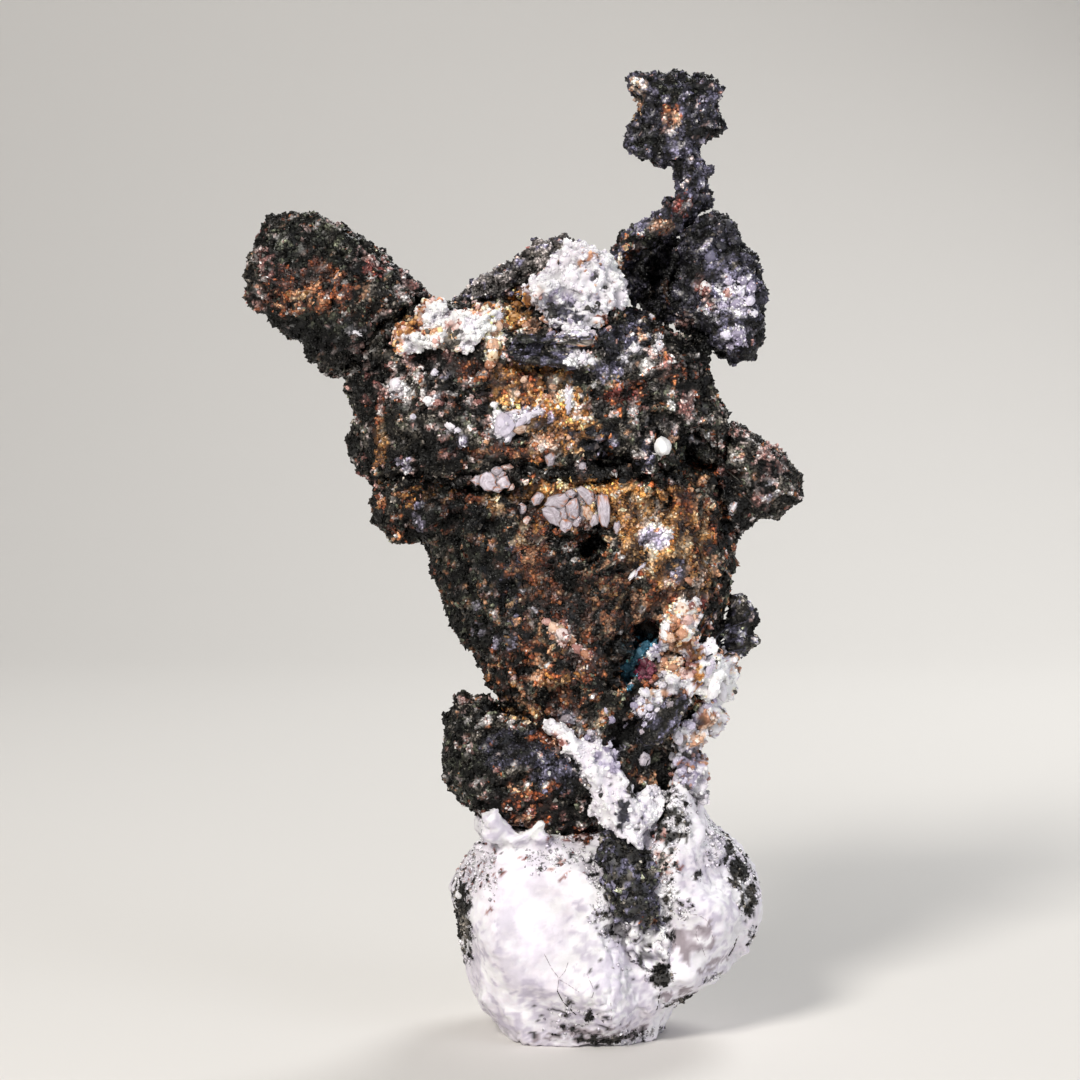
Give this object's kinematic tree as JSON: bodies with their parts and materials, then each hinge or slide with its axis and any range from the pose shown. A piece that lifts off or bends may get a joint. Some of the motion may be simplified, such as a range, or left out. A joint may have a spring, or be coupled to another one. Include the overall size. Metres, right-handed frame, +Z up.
{
  "type": "native silver specimen",
  "caption": "Branching mass of tarnished, spongy native silver with calcite crystals, standing upright on the flat of its rounded calcite foot.",
  "frame": {"origin": "a point on the flat of the calcite foot, on material, below the middle of the trunk", "axes": "+Z up the specimen from its flat foot to the crown branch, -Y is the show side, +X to the viewer's right when looking at the show side"},
  "size_m": [0.0582, 0.0265, 0.1],
  "materials": {
    "tarnished_silver": "dull grey-black tarnish over spongy silver, with bright metallic glints",
    "stained_silver": "tarnished silver stained rust brown and ochre",
    "blue_grey_silver": "cleaner blue-grey silver with a soft metallic sheen",
    "calcite": "white, faintly lilac, slightly translucent calcite with a glassy to satin surface"
  },
  "bodies": {
    "root": {"silver_trunk": "stained_silver", "silver_shoulder": "tarnished_silver", "silver_heel": "tarnished_silver", "silver_left_arm": "tarnished_silver", "silver_right_spur": "tarnished_silver", "silver_crown_branch": "blue_grey_silver", "silver_right_lobe": "blue_grey_silver", "silver_crest": "tarnished_silver", "silver_lower_fin": "tarnished_silver", "silver_blades": "blue_grey_silver", "calcite_foot": "calcite", "silver_root": "tarnished_silver", "calcite_vein": "calcite", "calcite_column": "calcite", "silver_lower_leaf": "blue_grey_silver", "calcite_cap": "calcite", "calcite_shoulder_crust": "calcite", "calcite_prisms": "calcite", "calcite_rhombs": "calcite", "calcite_bead": "calcite"}
  },
  "joints": []
}
